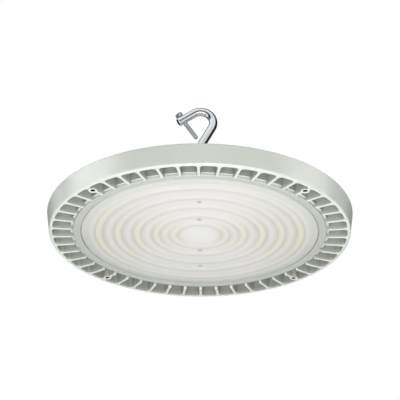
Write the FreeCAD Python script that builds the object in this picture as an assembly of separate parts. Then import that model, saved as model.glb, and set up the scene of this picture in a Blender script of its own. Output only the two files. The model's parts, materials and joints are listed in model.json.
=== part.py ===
# High bay light: die-cast housing with a finned, windowed rim, frosted ring-optic
# lens, LED board, sealed driver compartment and a hanging hook.
# Millimetres. Origin on the light's axis at the plane of the rib undersides, +Z up.
import FreeCAD, Part
import math, os
from FreeCAD import Vector as V, Matrix

os.makedirs("parts", exist_ok=True)

# ---------------------------------------------------------------- driving dimensions
RIM_TOP_R = 175.0        # outer radius of the rim at its top
RIM_BOT_R = 172.05       # outer radius just above the rounded bottom edge
RIM_H = 23.6             # height of the rim
N_RIB = 48               # ribs and windows
WIN_OUT_R0, WIN_OUT_R1 = 168.0, 171.7   # rim's inner face, bottom and rib top
RIB_T0, RIB_T1 = 3.3, 2.7               # rib thickness, bottom and top
RIB_TOP = 21.5           # height of the ribs in the open ring
WIN_FILLET = 4.2         # outer corners of the windows
BODY_R = 147.8           # outer wall of the central body
LEDGE_Z = 4.2            # underside of the body's outer wall
PLATE_Z0, PLATE_Z1 = 14.0, 18.0         # LED plate
SEAT_Z = 8.3             # lens seat
FIN_T = 2.4              # fins above the plate
BOSS_PCR = 160.4         # accessory bosses
BOSS_R, BOSS_HOLE_R, BOSS_HOLE_D = 5.0, 2.5, 10.0

COMP_R_IN, COMP_R_OUT, COMP_TOP = 74.0, 78.0, 56.0   # driver compartment wall
COVER_SCREW_PCR = 83.5
COVER_SCREW_AZ = [30 + 60 * k for k in range(6)]

FRAME_R_OUT, FRAME_R_IN, FRAME_Z = 144.9, 136.0, 1.8
LENS_R, LENS_FLANGE_R = 135.2, 139.9
LENS_Z0, LENS_Z1 = 2.5, 5.2
LED_RING_R = [30.1, 50.2, 72.0, 93.8, 115.5]
LED_RING_N = [30, 50, 72, 94, 116]
LED_W, LED_L, LED_H = 2.8, 3.5, 0.7
EDGE = 0.45              # broken edges of the ribs and windows
RIDGE_HALF, RIDGE_SAG = 6.0, 1.9
BOARD_R, BOARD_Z0, BOARD_Z1 = 127.0, 11.9, 13.4
PAD_R = 125.0
BOARD_SCREW_Y = [40.2, 82.9, 104.65]

BOSS_TOP = 98.0          # top of the hook boss on the cover
ROD_R = 5.0              # hook rod
HOOK_Z0 = 82.0           # lower end of the hook
HOOK_BEND_Z = 115.9      # where the shank starts to lean
HOOK_BEND_R = 15.0
HOOK_LEAN = 28.0         # degrees from the vertical
LOOP_R = 15.3            # hook loop, to the rod's centre line
LOOP_Z = 152.0
LOOP_END = 124.0         # degrees, where the loop runs into the straight end
TIP_L = 21.8             # straight end of the hook
LOCK_POS = 15.5          # locking screw's place along the straight end
LOCK_L = 35.0            # locking screw under its head
GLAND_X, GLAND_Y = 0.0, 46.0
VENT_X, VENT_Y = -46.0, 0.0
PAD_TOP = 84.5           # flat pads on the cover
LEAD_Y = 61.1            # where the LED leads pass the plate

# ---------------------------------------------------------------- helpers
def seg_face(pts, plane="xz"):
    """Closed face from points; ('a', mx, mz, x, z) is an arc through m to the point."""
    def p3(a, b):
        return V(a, 0, b) if plane == "xz" else V(a, b, 0)
    start = p3(*pts[0])
    edges, cur = [], start
    for p in list(pts[1:]) + [pts[0]]:
        if p[0] == "a":
            mid, end = p3(p[1], p[2]), p3(p[3], p[4])
            edges.append(Part.Arc(cur, mid, end).toShape())
        else:
            end = p3(*p)
            if end.distanceToPoint(cur) < 1e-7:
                continue
            edges.append(Part.makeLine(cur, end))
        cur = end
    return Part.Face(Part.Wire(edges))

def rev(pts):
    s = seg_face(pts).revolve(V(0, 0, 0), V(0, 0, 1), 360)
    return s

def cyl(x, y, z0, z1, r):
    return Part.makeCylinder(r, z1 - z0, V(x, y, z0), V(0, 0, 1))

def ring(x, y, z0, z1, r0, r1):
    return cyl(x, y, z0, z1, r1).cut(cyl(x, y, z0 - 1, z1 + 1, r0))

def box(x0, x1, y0, y1, z0, z1):
    return Part.makeBox(x1 - x0, y1 - y0, z1 - z0, V(x0, y0, z0))

def hexa(x, y, z0, z1, af, rot=0.0):
    r = af / math.sqrt(3)
    pts = [V(x + r * math.cos(math.radians(60 * i + rot)), y + r * math.sin(math.radians(60 * i + rot)), z0) for i in range(7)]
    pts[6] = pts[0]
    h = Part.Face(Part.makePolygon(pts)).extrude(V(0, 0, z1 - z0))
    return h

def hex_nut(x, y, z0, z1, af, hole_r, rot=0.0):
    """Hexagon with its corners turned off by a 30 degree cone at both ends, and a hole."""
    h = hexa(x, y, z0, z1, af, rot)
    rc = af / math.sqrt(3)
    d = rc - af / 2 * 0.97
    t = d * math.tan(math.radians(30))
    c = seg_face([(0, z0), (af / 2 * 0.97, z0), (rc + 0.01, z0 + t), (rc + 0.01, z1 - t), (af / 2 * 0.97, z1), (0, z1)])
    c = c.revolve(V(0, 0, 0), V(0, 0, 1), 360)
    c.translate(V(x, y, 0))
    return h.common(c).cut(cyl(x, y, z0 - 1, z1 + 1, hole_r))

def rotz(shape, deg):
    s = shape.copy()
    s.rotate(V(0, 0, 0), V(0, 0, 1), deg)
    return s

def tidy(shape):
    s = shape.removeSplitter()
    if len(s.Solids) == 1:
        return s.Solids[0]
    return s

def fillet_where(shape, r, test):
    ed = [e for e in shape.Edges if test(e)]
    if not ed:
        return shape
    try:
        return shape.makeFillet(r, ed)
    except Exception as exc:
        print("fillet left out:", exc)
        return shape

def pan_screw(x, y, z_seat, head_r, head_h, r, length, up=True, drive=1.6):
    """Pan head screw: domed head, cross recess, shank with a turned point."""
    s = 1 if up else -1
    hf = seg_face([(0, 0), (head_r, 0), (head_r, head_h * 0.35), ("a", head_r * 0.86, head_h * 0.78, head_r * 0.5, head_h), (0, head_h)])
    head = hf.revolve(V(0, 0, 0), V(0, 0, 1), 360)
    w = head_r * 0.26
    cross = box(-drive, drive, -w / 2, w / 2, head_h * 0.45, head_h + 1).fuse(box(-w / 2, w / 2, -drive, drive, head_h * 0.45, head_h + 1))
    head = head.cut(cross)
    sf = seg_face([(0, 0.0), (r, 0.0), (r, -length + r * 0.4), (r * 0.6, -length), (0, -length)])
    shank = sf.revolve(V(0, 0, 0), V(0, 0, 1), 360)
    scr = tidy(head.fuse(shank))
    if s < 0:
        scr.rotate(V(0, 0, 0), V(1, 0, 0), 180)
    scr.translate(V(x, y, z_seat))
    return scr

parts = {}

# ---------------------------------------------------------------- housing (one die casting)
body = rev([
    (0, PLATE_Z0), (130.0, PLATE_Z0), (131.5, SEAT_Z), (142.9, SEAT_Z), (142.9, 7.6), (143.5, 7.0), (143.5, 6.0),
    (142.9, 5.4), (142.9, LEDGE_Z), (145.4, LEDGE_Z), ("a", 145.95, 1.75, 147.2, 0), (169.9, 0),
    ("a", 171.42, 0.6, RIM_BOT_R, 2.0), (RIM_TOP_R, RIM_H - 1.2), ("a", RIM_TOP_R - 0.3, RIM_H - 0.32, RIM_TOP_R - 1.1, RIM_H),
    (172.9, RIM_H), (172.3, RIM_H - 0.6), (172.3, RIB_TOP), (149.5, RIB_TOP), (149.5, 12.3), (135.4, 12.3),
    ("a", 134.6, 12.9, 134.2, 14.0), (133.8, 17.0), ("a", 133.5, 17.7, 132.8, PLATE_Z1),
    (COMP_R_OUT + 3.0, PLATE_Z1), ("a", COMP_R_OUT + 1.3, PLATE_Z1 + 0.8, COMP_R_OUT + 0.6, PLATE_Z1 + 2.6),
    (COMP_R_OUT, COMP_TOP), (COMP_R_IN, COMP_TOP), (COMP_R_IN - 0.4, PLATE_Z1 + 1.6),
    ("a", COMP_R_IN - 0.9, PLATE_Z1 + 0.45, COMP_R_IN - 2.0, PLATE_Z1), (0, PLATE_Z1)])

def pocket_wire(z, r_in, r_out, t, f):
    """One window between two ribs, seen in plan, at height z. The rib planes are at 0 and 7.5 degrees."""
    step = math.radians(360.0 / N_RIB)
    def along(rad, off):
        return math.sqrt(rad * rad - off * off)
    def mir(p):              # mirror in the window's middle plane
        a = step / 2
        c, s = math.cos(2 * a), math.sin(2 * a)
        return (p[0] * c + p[1] * s, p[0] * s - p[1] * c)
    off = t / 2
    pin = (along(r_in, off), off)
    ac = along(r_out - f, off + f)
    pl = (ac, off)
    cdir = (ac / (r_out - f), (off + f) / (r_out - f))
    pa = (cdir[0] * r_out, cdir[1] * r_out)
    # middle of the corner arc
    bis = (cdir[0] + 0.0, cdir[1] - 1.0)
    n = math.hypot(*bis)
    pm = (ac + f * bis[0] / n, off + f + f * bis[1] / n)
    a = step / 2
    v = lambda p: V(p[0], p[1], z)
    e = [Part.makeLine(v(pin), v(pl)),
         Part.Arc(v(pl), v(pm), v(pa)).toShape(),
         Part.Arc(v(pa), V(r_out * math.cos(a), r_out * math.sin(a), z), v(mir(pa))).toShape(),
         Part.Arc(v(mir(pa)), v(mir(pm)), v(mir(pl))).toShape(),
         Part.makeLine(v(mir(pl)), v(mir(pin))),
         Part.Arc(v(mir(pin)), V(r_in * math.cos(a), r_in * math.sin(a), z), v(pin)).toShape()]
    return Part.Wire(e)

def at_z(z, a, b):
    return a + (b - a) * z / RIB_TOP

# the window widens by a 45 degree chamfer at its lower and upper mouth
sections = [(-0.6, EDGE + 0.6), (EDGE, 0.0), (RIB_TOP - EDGE, 0.0), (RIB_TOP + 0.55, EDGE + 0.55)]
wires = [pocket_wire(z, BODY_R, at_z(z, WIN_OUT_R0, WIN_OUT_R1) + c, at_z(z, RIB_T0, RIB_T1) - 2 * c, WIN_FILLET) for z, c in sections]
pocket = Part.makeLoft([wires[0], wires[1]], True, True)
for i in (1, 2):
    pocket = pocket.fuse(Part.makeLoft([wires[i], wires[i + 1]], True, True))
# under the ledge the windows run in to the gap round the lens frame
off = RIB_T0 / 2
step = 360.0 / N_RIB
pts = [(144.2, off), (150.0, off)]
ca, sa = math.cos(math.radians(step)), math.sin(math.radians(step))
mirp = [(p[0] * ca + p[1] * sa, p[0] * sa - p[1] * ca) for p in pts]
loop = [V(pts[0][0], pts[0][1], -1), V(pts[1][0], pts[1][1], -1), V(mirp[1][0], mirp[1][1], -1), V(mirp[0][0], mirp[0][1], -1)]
low = Part.Face(Part.makePolygon(loop + [loop[0]])).extrude(V(0, 0, LEDGE_Z + 1))
tool = pocket.fuse(low)
tools = [rotz(tool, k * step) for k in range(N_RIB)]
body = body.cut(Part.makeCompound(tools))

def fin(r_in):
    zt_in = 46.0 if r_in < 85 else 41.5
    prof = [(r_in, PLATE_Z1 - 1), (r_in, zt_in - 3), ("a", r_in + 0.9, zt_in - 0.9, r_in + 3, zt_in)]
    # the top edge falls in a long curve to the rim
    prof += [("a", r_in + (160 - r_in) * 0.48, zt_in - (zt_in - RIB_TOP) * 0.36, 160, RIB_TOP - 0.1)]
    prof += [(160, 11.5), (136.0, 11.5), (132.5, PLATE_Z1 - 1)]
    f = seg_face(prof)
    s = f.extrude(V(0, FIN_T, 0))
    s.translate(V(0, -FIN_T / 2, 0))
    # round the long top edges and the nose
    def top_edge(e):
        m = e.valueAt((e.FirstParameter + e.LastParameter) / 2)
        return abs(abs(m.y) - FIN_T / 2) < 1e-4 and m.z > RIB_TOP and (e.Length > 40 or m.z > zt_in - 6)
    return fillet_where(s, FIN_T * 0.36, top_edge)

fin_long, fin_short = fin(77.0), fin(96.0)
fins = [rotz(fin_long if k % 2 == 0 else fin_short, k * step) for k in range(N_RIB)]
add = fins
for a in (45, 135, 225, 315):
    c, s = math.cos(math.radians(a)), math.sin(math.radians(a))
    b = rev([(0, 0), (BOSS_R, 0), (BOSS_R - 0.4, 14.0), (0, 14.0)])
    b.translate(V(BOSS_PCR * c, BOSS_PCR * s, 0))
    add.append(b)
for a in COVER_SCREW_AZ:
    c, s = math.cos(math.radians(a)), math.sin(math.radians(a))
    add.append(cyl(COVER_SCREW_PCR * c, COVER_SCREW_PCR * s, PLATE_Z1 - 1, COMP_TOP, 5.2))
    w = box(76.0, COVER_SCREW_PCR, -3.4, 3.4, PLATE_Z1 - 1, COMP_TOP)
    add.append(rotz(w, a))
for y in BOARD_SCREW_Y:
    for sg in (1, -1):
        add.append(cyl(0, sg * y, PLATE_Z1 - 1, PLATE_Z1 + 3.0, 4.2))
DRV_X, DRV_Y = 62.0, 20.0
for sx in (1, -1):
    for sy in (1, -1):
        add.append(cyl(sx * DRV_X, sy * DRV_Y, PLATE_Z1 - 1, 24.0, 4.5))
EARTH_X, EARTH_Y = 38.0, -52.0
add.append(cyl(EARTH_X, EARTH_Y, PLATE_Z1 - 1, 26.0, 5.0))
TERM_Y = -54.0
for sx in (1, -1):
    add.append(cyl(sx * 14.5, TERM_Y, PLATE_Z1 - 1, 22.0, 3.6))
body = body.multiFuse(add)

cuts = []
for a in (45, 135, 225, 315):
    c, s = math.cos(math.radians(a)), math.sin(math.radians(a))
    h = rev([(0, -1), (BOSS_HOLE_R + 0.5, -1), (BOSS_HOLE_R + 0.5, 0), (BOSS_HOLE_R, 0.5), (BOSS_HOLE_R, BOSS_HOLE_D), (0, BOSS_HOLE_D + 1.4)])
    h.translate(V(BOSS_PCR * c, BOSS_PCR * s, 0))
    cuts.append(h)
for a in COVER_SCREW_AZ:
    c, s = math.cos(math.radians(a)), math.sin(math.radians(a))
    cuts.append(cyl(COVER_SCREW_PCR * c, COVER_SCREW_PCR * s, 41.0, COMP_TOP + 1, 2.05))
for y in BOARD_SCREW_Y:
    for sg in (1, -1):
        cuts.append(cyl(0, sg * y, PLATE_Z0 - 1, PLATE_Z1 + 1.2, 1.55))
for sx in (1, -1):
    for sy in (1, -1):
        cuts.append(cyl(sx * DRV_X, sy * DRV_Y, 15.6, 25.0, 2.05))
cuts.append(cyl(EARTH_X, EARTH_Y, 15.6, 27.0, 2.05))
for sx in (1, -1):
    cuts.append(cyl(sx * 14.5, TERM_Y, 15.6, 23.0, 1.55))
cuts.append(cyl(0, LEAD_Y, PLATE_Z0 - 1, PLATE_Z1 + 1, 6.0))
# groove for the cover gasket
cuts.append(ring(0, 0, COMP_TOP - 1.2, COMP_TOP + 1, 75.0, 77.0))
body = body.cut(Part.makeCompound(cuts))
body = tidy(body)
parts["housing"] = body

# ---------------------------------------------------------------- lens, frame and seal
parts["lens_frame"] = rev([
    (FRAME_R_IN, LEDGE_Z), (FRAME_R_IN, 2.7), ("a", FRAME_R_IN + 0.27, 2.05, FRAME_R_IN + 0.9, FRAME_Z),
    (142.4, FRAME_Z), ("a", 144.15, 2.2, FRAME_R_OUT, 3.5), (FRAME_R_OUT, LEDGE_Z),
    (142.6, LEDGE_Z), (142.6, 5.9), (143.2, 6.3), (143.2, 6.6), (142.2, 8.2), (140.4, 8.2), (140.4, LEDGE_Z)])

lens = [(0, LENS_Z1), (132.4, LENS_Z1), ("a", 133.2, 5.5, 133.8, 6.2), (LENS_FLANGE_R, 6.2), (LENS_FLANGE_R, LEDGE_Z),
        (LENS_R, LEDGE_Z), (LENS_R, LENS_Z0 + 0.4), (LENS_R - 0.4, LENS_Z0)]
for rk in reversed(LED_RING_R):
    lo, hi = rk - RIDGE_HALF, rk + RIDGE_HALF
    lens.append((hi, LENS_Z0))
    lens.append(("a", (lo + hi) / 2, LENS_Z0 - RIDGE_SAG, lo, LENS_Z0))
lens.append((0, LENS_Z0))
parts["lens"] = rev(lens)

parts["lens_seal"] = rev([(134.6, 6.2), (139.9, 6.2), (140.0, 7.2), (139.9, SEAT_Z), (134.6, SEAT_Z), (134.3, 7.2)])

# ---------------------------------------------------------------- LED board and what is on it
pad = cyl(0, 0, BOARD_Z1, PLATE_Z0, PAD_R)
board = cyl(0, 0, BOARD_Z0, BOARD_Z1, BOARD_R)
for y in BOARD_SCREW_Y:
    for sg in (1, -1):
        pad = pad.cut(cyl(0, sg * y, 0, 30, 2.2))
        board = board.cut(cyl(0, sg * y, 0, 30, 1.7))
pad = pad.cut(cyl(0, LEAD_Y, 0, 30, 7.0))
board = board.cut(cyl(0, LEAD_Y, 0, 30, 3.6))
parts["thermal_pad"] = pad
parts["led_board"] = board

leds = []
for r, n in zip(LED_RING_R, LED_RING_N):
    for i in range(n):
        # no package where a lead connector or screw head would foul it
        b = box(r - LED_W / 2, r + LED_W / 2, -LED_L / 2, LED_L / 2, BOARD_Z0 - LED_H, BOARD_Z0)
        leds.append(rotz(b, (i + 0.5) * 360.0 / n + 90))
parts["led_packages"] = Part.makeCompound(leds)

parts["board_screws"] = Part.makeCompound(
    [pan_screw(0, sg * y, BOARD_Z0, 2.75, 2.0, 1.45, 6.6, up=False, drive=1.5) for y in BOARD_SCREW_Y for sg in (1, -1)])

conn = box(-5.0, 5.0, LEAD_Y - 3.5, LEAD_Y + 3.5, BOARD_Z0 - 3.6, BOARD_Z0)
conn = fillet_where(conn, 0.6, lambda e: abs(e.tangentAt(e.FirstParameter).z) > 0.9)
for sx in (1, -1):
    conn = conn.cut(cyl(sx * 2.2, LEAD_Y, BOARD_Z0 - 2.4, BOARD_Z0 + 1, 0.95))
    conn = conn.cut(box(sx * 2.2 - 0.9, sx * 2.2 + 0.9, LEAD_Y - 2.6, LEAD_Y - 1.4, BOARD_Z0 - 4, BOARD_Z0 - 3.0))
parts["board_connector"] = conn

# grommet in the plate, with a lip on each side
grom = rev([(3.6, PLATE_Z0 + 0.1), (5.9, PLATE_Z0 + 0.1), (5.9, PLATE_Z1), (7.6, PLATE_Z1), ("a", 7.3, PLATE_Z1 + 1.3, 6.2, PLATE_Z1 + 1.9), (4.4, PLATE_Z1 + 1.9),
            ("a", 3.85, PLATE_Z1 + 1.6, 3.6, PLATE_Z1 + 1.1)])
grom.translate(V(0, LEAD_Y, 0))
parts["wire_grommet"] = grom

# two leads, from the driver's end wall over and down through the plate to the connector
def lead(x):
    r = 0.8
    y0, zt = 36.6, 33.0
    rb = 12.0
    yc = LEAD_Y
    p0 = V(x, y0, zt)
    p1 = V(x, yc - rb, zt)
    p2 = V(x, yc, zt - rb)
    mid = V(x, yc - rb + rb * math.sin(math.radians(45)), zt - rb + rb * math.cos(math.radians(45)))
    p3 = V(x, yc, BOARD_Z0 - 2.3)
    w = Part.Wire([Part.LineSegment(p0, p1).toShape(), Part.Arc(p1, mid, p2).toShape(), Part.LineSegment(p2, p3).toShape()])
    prof = Part.Wire([Part.Circle(p0, V(0, 1, 0), r).toShape()])
    s = w.makePipeShell([prof], True, False)
    want = math.pi * r * r * w.Length
    print("lead volume / section x length: %.4f" % (s.Volume / want))
    return s
parts["led_lead_positive"] = lead(2.2)
parts["led_lead_negative"] = lead(-2.2)

# ---------------------------------------------------------------- driver in the compartment
DX, DY, DZ0, DZ1, DT = 55.0, 36.0, 18.4, 44.0, 1.5
def vert(e):
    return abs(e.tangentAt(e.FirstParameter).z) > 0.99
tray = fillet_where(box(-DX, DX, -DY, DY, DZ0, DZ1), 4.0, vert)
tray = tray.cut(fillet_where(box(-DX + DT, DX - DT, -DY + DT, DY - DT, DZ0 + DT, DZ1 + 1), 2.5, vert))
ears = []
for sx in (1, -1):
    for sy in (1, -1):
        e = box(min(sx * (DX - 1), sx * DRV_X), max(sx * (DX - 1), sx * DRV_X), sy * DRV_Y - 5, sy * DRV_Y + 5, 24.0, 26.0)
        ears.append(e.fuse(cyl(sx * DRV_X, sy * DRV_Y, 24.0, 26.0, 5.0)))
for sx in (1, -1):
    for sy in (1, -1):      # posts for the driver's circuit board
        ears.append(cyl(sx * 46, sy * 28, DZ0 + 0.5, 24.0, 3.0))
tray = tray.multiFuse(ears)
tray = tray.cut(Part.makeCompound([cyl(sx * DRV_X, sy * DRV_Y, 20, 30, 2.25) for sx in (1, -1) for sy in (1, -1)] +
                                  [box(sx * 2.2 - 1.2, sx * 2.2 + 1.2, DY - 3, DY + 1, 31.6, 34.2) for sx in (1, -1)] +
                                  [box(-9, 9, -DY - 1, -DY + 3, 31, 35)]))
# stand clear of the casting's corner bosses
tray = tray.cut(Part.makeCompound([cyl(sx * DRV_X, sy * DRV_Y, 17, 24.0, 4.9) for sx in (1, -1) for sy in (1, -1)]))
parts["driver_case"] = tidy(tray)

lid = fillet_where(box(-DX, DX, -DY, DY, DZ1, DZ1 + 12), 4.0, vert)
lid = fillet_where(lid, 1.2, lambda e: min(v.Point.z for v in e.Vertexes) > DZ1 + 11.9)
lid = lid.cut(fillet_where(box(-DX + DT, DX - DT, -DY + DT, DY - DT, DZ1 - 1, DZ1 + 12 - DT), 2.5, vert))
slots = [box(-DX - 1, -DX + 3, -24 + 8 * i, -20 + 8 * i, DZ1 + 4, DZ1 + 6) for i in range(6)]
slots += [box(DX - 3, DX + 1, -24 + 8 * i, -20 + 8 * i, DZ1 + 4, DZ1 + 6) for i in range(6)]
parts["driver_lid"] = lid.cut(Part.makeCompound(slots))

pcb = fillet_where(box(-52.5, 52.5, -33.5, 33.5, 24.0, 25.6), 3.0, vert)
parts["driver_board"] = pcb
tr = fillet_where(box(-12, 16, -14, 14, 25.6, 29.0), 1.5, vert)
tr = tr.fuse(box(-10, 14, -9, 9, 29.0, 49.0)).fuse(box(-6, 10, -13, 13, 31.0, 47.0))
parts["driver_transformer"] = tidy(tr)
cap = []
for cx, cy in ((-34, 14), (-34, -10)):
    c = rev([(0, 25.6), (8.6, 25.6), (9.0, 26.2), (9.0, 27.4), (8.5, 28.2), (9.0, 29.0), (9.0, 49.4), (8.4, 50.0), (6.5, 50.0), (6.3, 49.6), (0, 49.6)])
    c.translate(V(cx, cy, 0))
    cap.append(c)
parts["driver_capacitors"] = Part.makeCompound(cap)
ck = Part.makeTorus(8.0, 3.6, V(36, 0, 25.6 + 11.6), V(1, 0, 0))
ck = ck.fuse(box(34.0, 38.0, -7.0, 7.0, 25.6, 29.0))
parts["driver_choke"] = tidy(ck)
parts["driver_screws"] = Part.makeCompound(
    [pan_screw(sx * DRV_X, sy * DRV_Y, 26.0, 3.8, 2.8, 1.95, 9.5, drive=2.1) for sx in (1, -1) for sy in (1, -1)])

# mains terminal block: three ways, on two cast pads
tb = fillet_where(box(-19, 19, TERM_Y - 9, TERM_Y + 9, 22.0, 38.0), 1.5, vert)
for i in (-1, 0, 1):
    tb = tb.cut(cyl(i * 9.0, TERM_Y, 30.0, 39.0, 2.6))
    tb = tb.cut(box(i * 9.0 - 2.2, i * 9.0 + 2.2, TERM_Y - 10, TERM_Y - 4, 25.0, 29.0))
for sx in (1, -1):
    tb = tb.cut(cyl(sx * 14.5, TERM_Y, 21, 39, 1.8)).cut(cyl(sx * 14.5, TERM_Y, 33, 39, 3.1))
parts["mains_terminal_block"] = tb
parts["terminal_block_screws"] = Part.makeCompound(
    [pan_screw(sx * 14.5, TERM_Y, 33.0, 2.8, 2.2, 1.45, 16.5, drive=1.5) for sx in (1, -1)])
parts["earth_screw"] = pan_screw(EARTH_X, EARTH_Y, 27.2, 4.0, 2.8, 1.95, 10.0, drive=2.1)
lug = ring(EARTH_X, EARTH_Y, 26.0, 27.2, 2.2, 4.6)
lug = lug.fuse(box(EARTH_X - 13.0, EARTH_X - 3.6, EARTH_Y - 1.9, EARTH_Y + 1.9, 26.0, 27.2)).cut(cyl(EARTH_X, EARTH_Y, 25, 28, 2.2))
parts["earth_lug"] = tidy(lug)

# ---------------------------------------------------------------- cover, gasket and screws
cover = rev([
    (COMP_R_IN - 0.2, COMP_TOP), (COMP_R_OUT + 0.6, COMP_TOP), (COMP_R_OUT + 0.4, 60.5), (COMP_R_OUT - 1.2, 66.5),
    ("a", 72.6, 75.2, 61.5, 80.0), ("a", 42.0, 83.4, 24.6, 85.2), ("a", 19.8, 86.6, 18.2, 90.2), (17.6, BOSS_TOP - 1.2), (16.4, BOSS_TOP), (0, BOSS_TOP),
    (0, 77.8), (17.0, 77.8), ("a", 19.2, 78.7, 20.5, 81.9), ("a", 41.5, 80.1, 60.4, 76.9), ("a", 69.6, 73.0, 73.6, 66.0), (74.2, 60.6), (COMP_R_IN - 0.2, 60.0)])
add = []
for a in COVER_SCREW_AZ:
    e = cyl(COVER_SCREW_PCR, 0, COMP_TOP, 61.0, 5.6).fuse(box(75.5, COVER_SCREW_PCR, -5.6, 5.6, COMP_TOP, 61.0))
    # a short web carries each ear's load up the wall
    add.append(rotz(e, a))
add.append(rev([(0, 76.5), (13.6, 76.5), (13.2, PAD_TOP - 0.4), (12.8, PAD_TOP), (0, PAD_TOP)]).translated(V(GLAND_X, GLAND_Y, 0)))
add.append(rev([(0, 76.5), (10.6, 76.5), (10.2, PAD_TOP - 0.4), (9.8, PAD_TOP), (0, PAD_TOP)]).translated(V(VENT_X, VENT_Y, 0)))
cover = cover.multiFuse(add)
cuts = [cyl(0, 0, 81.0, BOSS_TOP + 1, ROD_R + 0.05)]
for a in COVER_SCREW_AZ:
    c, s = math.cos(math.radians(a)), math.sin(math.radians(a))
    cuts.append(cyl(COVER_SCREW_PCR * c, COVER_SCREW_PCR * s, 50, 64, 2.25))
cuts.append(cyl(GLAND_X, GLAND_Y, 70, PAD_TOP + 1, 8.05))
cuts.append(cyl(VENT_X, VENT_Y, 70, PAD_TOP + 1, 6.05))
cuts.append(Part.makeCylinder(2.05, 16.0, V(0, -3.0, 92.0), V(0, -1, 0)))
cover = cover.cut(Part.makeCompound(cuts))
parts["driver_cover"] = tidy(cover)
parts["cover_gasket"] = ring(0, 0, COMP_TOP - 1.2, COMP_TOP, 75.1, 76.9)
parts["cover_screws"] = Part.makeCompound(
    [rotz(pan_screw(COVER_SCREW_PCR, 0, 61.0, 3.9, 3.1, 1.95, 17.0, drive=2.1), a) for a in COVER_SCREW_AZ])

# ---------------------------------------------------------------- hook and its fixings
lean = math.radians(HOOK_LEAN)
b0 = V(0, 0, HOOK_BEND_Z)
bm = V(HOOK_BEND_R - HOOK_BEND_R * math.cos(lean / 2), 0, HOOK_BEND_Z + HOOK_BEND_R * math.sin(lean / 2))
b1 = V(HOOK_BEND_R - HOOK_BEND_R * math.cos(lean), 0, HOOK_BEND_Z + HOOK_BEND_R * math.sin(lean))
t_z = LOOP_Z - LOOP_R * math.sin(lean)
t_x = b1.x + (t_z - b1.z) * math.tan(lean)
loop_x = t_x - LOOP_R * math.cos(lean)
def on_loop(deg):
    a = math.radians(deg)
    return V(loop_x + LOOP_R * math.cos(a), 0, LOOP_Z + LOOP_R * math.sin(a))
l0, lm, l1 = on_loop(-HOOK_LEAN), on_loop((LOOP_END - HOOK_LEAN) / 2), on_loop(LOOP_END)
ea = math.radians(LOOP_END)
tdir = V(-math.sin(ea), 0, math.cos(ea))
tip = l1 + tdir * TIP_L
path = Part.Wire([Part.LineSegment(V(0, 0, HOOK_Z0), b0).toShape(), Part.Arc(b0, bm, b1).toShape(),
                  Part.LineSegment(b1, l0).toShape(), Part.Arc(l0, lm, l1).toShape(), Part.LineSegment(l1, tip).toShape()])
prof = Part.Wire([Part.Circle(V(0, 0, HOOK_Z0), V(0, 0, 1), ROD_R).toShape()])
hook = path.makePipeShell([prof], True, False)
print("hook volume / section x length: %.4f" % (hook.Volume / (math.pi * ROD_R ** 2 * path.Length)), "length %.1f" % path.Length)
# turned ends
def end_chamfer(shape, at, d, c):
    """Cut a chamfer of size c on the rod's end at point `at`, whose outward direction is d."""
    blank = Part.makeCylinder(ROD_R + 1, c + 0.5, at - d * c, d)
    cone = Part.makeCone(ROD_R, ROD_R - c, c, at - d * c, d)
    return shape.cut(blank.cut(cone))
hook = end_chamfer(hook, V(0, 0, HOOK_Z0), V(0, 0, -1), 1.2)
hook = end_chamfer(hook, tip, tdir, 1.0)
q = l1 + tdir * LOCK_POS
n = V(-tdir.z, 0, tdir.x)          # towards the shank
if n.z > 0:
    n = n * -1
seat = 4.55
hook = hook.cut(Part.makeCylinder(2.55, 16, q - n * 8, n))
hook = hook.cut(Part.makeCylinder(4.8, 4, q - n * (seat + 4), n))
parts["hook"] = tidy(hook)

# cap head locking screw across the mouth
sp = seg_face([(0, 0.0), (2.5, 0.0), (2.5, -LOCK_L + 0.8), (1.7, -LOCK_L), (0, -LOCK_L)])
scr = sp.revolve(V(0, 0, 0), V(0, 0, 1), 360)
hd = rev([(0, 0), (4.25, 0), (4.25, 4.6), (3.85, 5.0), (0, 5.0)])
hd = hd.cut(hexa(0, 0, 2.4, 6.0, 4.0))
scr = tidy(scr.fuse(hd))
rot = FreeCAD.Rotation(V(0, 0, 1), n * -1)
scr.Placement = FreeCAD.Placement(q - n * seat, rot)
parts["hook_locking_screw"] = scr

parts["hook_washer"] = rev([(5.25, BOSS_TOP), (10.0, BOSS_TOP), (10.0, BOSS_TOP + 1.7), (9.7, BOSS_TOP + 2.0), (5.25, BOSS_TOP + 2.0)])
parts["hook_lock_nut"] = hex_nut(0, 0, BOSS_TOP + 2.0, BOSS_TOP + 10.0, 16.0, ROD_R + 0.05)
gs = rev([(0, 0), (1.3, 0), (1.95, 0.7), (1.95, 10.0), (0, 10.0)]).cut(hexa(0, 0, 6.5, 11, 2.0))
gs.rotate(V(0, 0, 0), V(1, 0, 0), 90)
gs.translate(V(0, -5.03, 92.0))
parts["hook_set_screw"] = gs

# ---------------------------------------------------------------- cable gland (M16) and vent
g = V(GLAND_X, GLAND_Y, 0)
gb = rev([(5.4, 70.5), (7.6, 70.5), (8.0, 71.0), (8.0, PAD_TOP), (8.0, 86.0), (10.4, 86.0), (10.4, 87.0), (7.6, 87.0), (7.6, 96.0), (7.2, 96.5), (6.4, 96.5),
          (6.4, 92.0), (5.4, 90.6)])
hx = hex_nut(0, 0, 87.0, 92.0, 20.0, 7.0)
gb = gb.fuse(hx)
gb = tidy(gb.cut(ring(0, 0, PAD_TOP, 86.0, 8.0, 12)))
parts["gland_body"] = gb.translated(g)
parts["gland_o_ring"] = ring(0, 0, PAD_TOP, 86.0, 8.05, 9.9).translated(g)
parts["gland_seal"] = rev([(4.6, 92.4), (6.3, 92.4), (6.3, 96.5), (6.3, 98.0), (5.5, 100.5), (4.6, 100.5)]).translated(g)
cp = hexa(0, 0, 92.4, 99.5, 20.0).common(cyl(0, 0, 92.4, 99.5, 11.2))
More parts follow.
